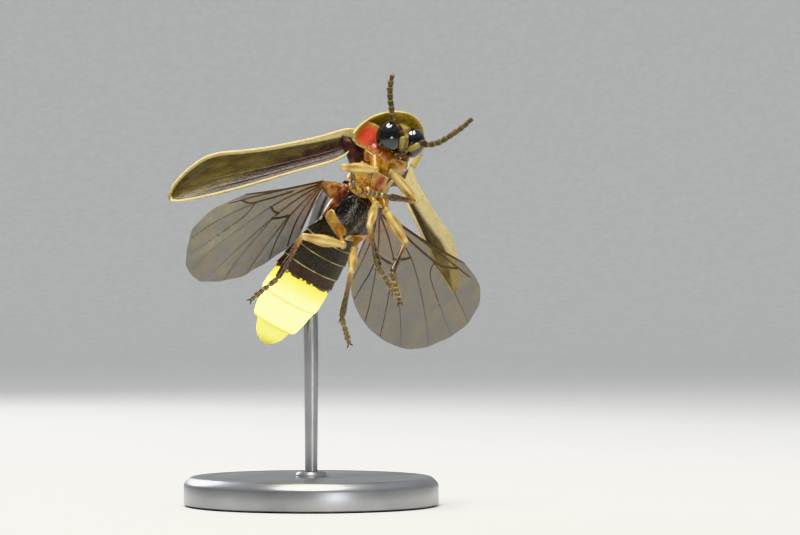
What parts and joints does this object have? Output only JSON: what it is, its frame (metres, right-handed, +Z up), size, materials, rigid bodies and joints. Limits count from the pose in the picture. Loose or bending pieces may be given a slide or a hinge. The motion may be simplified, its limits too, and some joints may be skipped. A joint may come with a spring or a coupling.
{
  "type": "firefly model",
  "caption": "Life-size still model of a firefly in flight, wing cases and hind wings spread, legs hanging and lantern lit, on a small steel display stand.",
  "frame": {"origin": "centre of the stand base's underside, on the surface it stands on", "axes": "+Z up, -Y towards the viewer who sees the belly, +X to that viewer's right; the head points up and towards +X"},
  "size_m": [0.0168, 0.0157, 0.0235],
  "materials": {
    "shield": "satin olive-brown shell with fine down",
    "amber_cuticle": "glossy amber shell",
    "dark_cuticle": "glossy pitch-brown shell",
    "lantern_cuticle": "pale translucent shell that glows yellow",
    "face_cuticle": "satin olive-yellow shell",
    "eye": "deep black, very glossy",
    "mouth_cuticle": "glossy brown with pale edges",
    "feeler_cuticle": "downy olive-brown",
    "leg_cuticle": "glossy straw to dark brown",
    "wing_case": "satin olive-brown with cream margins",
    "wing_membrane": "thin smoky membrane with darker veins",
    "stand_steel": "fine brushed steel"
  },
  "bodies": {
    "root": {"pronotum": "shield", "prothorax": "amber_cuticle", "mesothorax": "amber_cuticle", "metathorax": "dark_cuticle", "abdomen": "dark_cuticle", "lantern": "lantern_cuticle", "abdomen_tip": "lantern_cuticle", "head": "face_cuticle", "eye_right": "eye", "eye_left": "eye", "mouthparts": "mouth_cuticle", "antenna_right": "feeler_cuticle", "antenna_left": "feeler_cuticle", "leg_front_right": "leg_cuticle", "leg_front_left": "leg_cuticle", "leg_middle_right": "leg_cuticle", "leg_middle_left": "leg_cuticle", "leg_hind_right": "leg_cuticle", "leg_hind_left": "leg_cuticle", "elytron_right": "wing_case", "elytron_left": "wing_case", "hind_wing_right": "wing_membrane", "hind_wing_left": "wing_membrane", "stand_base": "stand_steel", "stand_rod": "stand_steel"}
  },
  "joints": []
}
